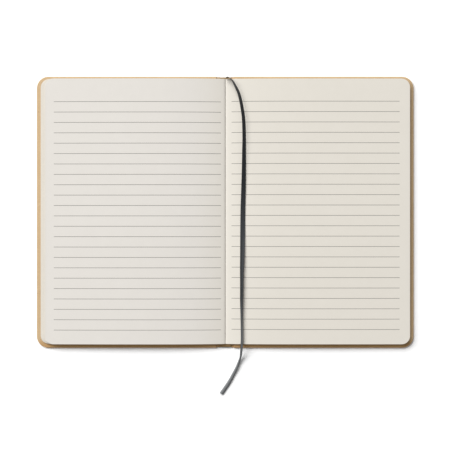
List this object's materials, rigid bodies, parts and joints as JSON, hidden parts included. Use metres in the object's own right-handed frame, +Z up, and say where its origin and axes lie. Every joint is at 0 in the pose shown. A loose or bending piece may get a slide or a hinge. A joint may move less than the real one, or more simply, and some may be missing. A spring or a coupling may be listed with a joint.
{
  "type": "ruled notebook",
  "caption": "Soft-cover ruled notebook lying open, with rounded corners, kraft board covers hinged at the spine and a ribbon marker.",
  "frame": {"origin": "on the table, at the middle of the open book's footprint, under the spine", "axes": "+X across the open book from the front cover to the back cover, +Y along the spine to the head, +Z up from the table"},
  "size_m": [0.292, 0.247, 0.0077],
  "materials": {
    "kraft_board": "natural kraft board, matt",
    "endpaper": "plain uncoated paper",
    "lining_gauze": "open gauze set in glue",
    "page_paper": "cream uncoated writing paper",
    "rule_print": "fine grey printed rules",
    "ribbon_satin": "dark slate satin ribbon"
  },
  "bodies": {
    "book_block": {"pages": "page_paper", "ruled_lines": "rule_print", "spine": "kraft_board", "spine_lining": "lining_gauze", "ribbon": "ribbon_satin"},
    "front": {"front_cover": "kraft_board", "front_endpaper": "endpaper"},
    "back": {"back_cover": "kraft_board", "back_endpaper": "endpaper"}
  },
  "joints": [
    {"name": "front_cover_hinge", "type": "hinge", "parent": "book_block", "child": "front", "pos_m": [-0.0056, 0, 0], "axis": [0, 1, 0], "range_deg": [0, 90], "deforming": ["pages", "ruled_lines"]},
    {"name": "back_cover_hinge", "type": "hinge", "parent": "book_block", "child": "back", "pos_m": [0.0056, 0, 0], "axis": [0, -1, 0], "range_deg": [0, 90], "deforming": ["pages", "ruled_lines", "ribbon"]}
  ]
}
